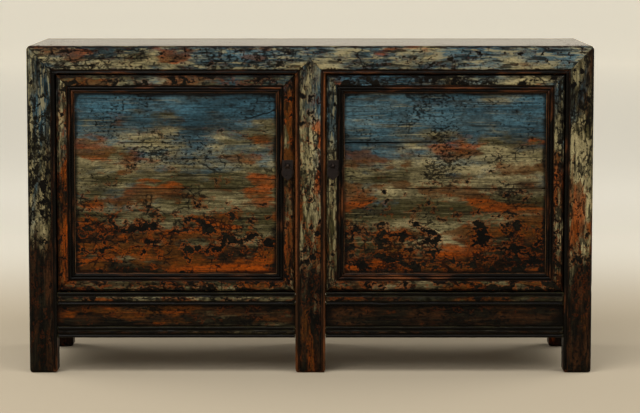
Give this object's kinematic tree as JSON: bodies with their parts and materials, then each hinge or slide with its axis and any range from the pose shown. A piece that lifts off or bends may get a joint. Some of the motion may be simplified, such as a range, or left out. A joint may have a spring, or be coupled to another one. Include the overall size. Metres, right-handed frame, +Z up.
{
  "type": "kang cabinet",
  "caption": "Low, wide wooden cabinet on short square legs, with framed panel doors on wooden pivots, a mitred top frame, recessed aprons and iron pendant pulls.",
  "frame": {"origin": "on the floor, at the centre of the overall box including the pulls", "axes": "+X to the viewer's right along the front, +Y from the front to the rear, +Z up"},
  "size_m": [1.46, 0.47, 0.85],
  "materials": {
    "old_lacquer": "worn layered lacquer, blue over cream over orange over near-black, with flaking",
    "top_lacquer": "dark brown lacquer, waxed to a soft gloss",
    "bare_wood": "aged unpainted softwood, dry",
    "iron": "dark wrought iron with a worn polish on the edges"
  },
  "bodies": {
    "carcass": {"front_left_post": "old_lacquer", "front_centre_post": "old_lacquer", "front_right_post": "old_lacquer", "rear_left_post": "old_lacquer", "rear_centre_post": "old_lacquer", "rear_right_post": "old_lacquer", "top_front_rail": "old_lacquer", "top_rear_rail": "old_lacquer", "top_left_rail": "old_lacquer", "top_right_rail": "old_lacquer", "top_panel": "top_lacquer", "top_centre_stretcher": "bare_wood", "top_left_batten": "bare_wood", "top_right_batten": "bare_wood", "front_left_lower_rail": "old_lacquer", "front_right_lower_rail": "old_lacquer", "front_left_bottom_rail": "old_lacquer", "front_right_bottom_rail": "old_lacquer", "front_left_apron": "old_lacquer", "front_right_apron": "old_lacquer", "rear_left_lower_rail": "old_lacquer", "rear_right_lower_rail": "old_lacquer", "rear_left_panel": "bare_wood", "rear_right_panel": "bare_wood", "left_lower_rail": "old_lacquer", "right_lower_rail": "old_lacquer", "left_bottom_rail": "old_lacquer", "right_bottom_rail": "old_lacquer", "left_side_panel": "old_lacquer", "right_side_panel": "old_lacquer", "left_side_apron": "old_lacquer", "right_side_apron": "old_lacquer", "floor_bearer": "bare_wood", "floor_left": "bare_wood", "floor_right": "bare_wood", "left_door_stop": "bare_wood", "right_door_stop": "bare_wood"},
    "left_door": {"left_door_hinge_stile": "old_lacquer", "left_door_pull_stile": "old_lacquer", "left_door_top_rail": "old_lacquer", "left_door_bottom_rail": "old_lacquer", "left_door_panel": "old_lacquer", "left_door_outer_batten": "bare_wood", "left_door_inner_batten": "bare_wood", "left_pull_plate": "iron", "left_pull_staple": "iron"},
    "left_pull": {"left_pull_pendant": "iron"},
    "right_door": {"right_door_hinge_stile": "old_lacquer", "right_door_pull_stile": "old_lacquer", "right_door_top_rail": "old_lacquer", "right_door_bottom_rail": "old_lacquer", "right_door_panel": "old_lacquer", "right_door_outer_batten": "bare_wood", "right_door_inner_batten": "bare_wood", "right_pull_plate": "iron", "right_pull_staple": "iron"},
    "right_pull": {"right_pull_pendant": "iron"}
  },
  "joints": [
    {"name": "left_door_hinge", "type": "hinge", "parent": "carcass", "child": "left_door", "pos_m": [-0.627, -0.21, 0.2145], "axis": [0, 0, -1], "range_deg": [0, 110]},
    {"name": "right_door_hinge", "type": "hinge", "parent": "carcass", "child": "right_door", "pos_m": [0.627, -0.21, 0.2145], "axis": [0, 0, 1], "range_deg": [0, 110]},
    {"name": "left_pull_swing", "type": "hinge", "parent": "left_door", "child": "left_pull", "pos_m": [-0.0585, -0.2304, 0.541], "axis": [-1, 0, 0], "range_deg": [-6, 80]},
    {"name": "right_pull_swing", "type": "hinge", "parent": "right_door", "child": "right_pull", "pos_m": [0.0585, -0.2304, 0.541], "axis": [-1, 0, 0], "range_deg": [-6, 80]}
  ]
}
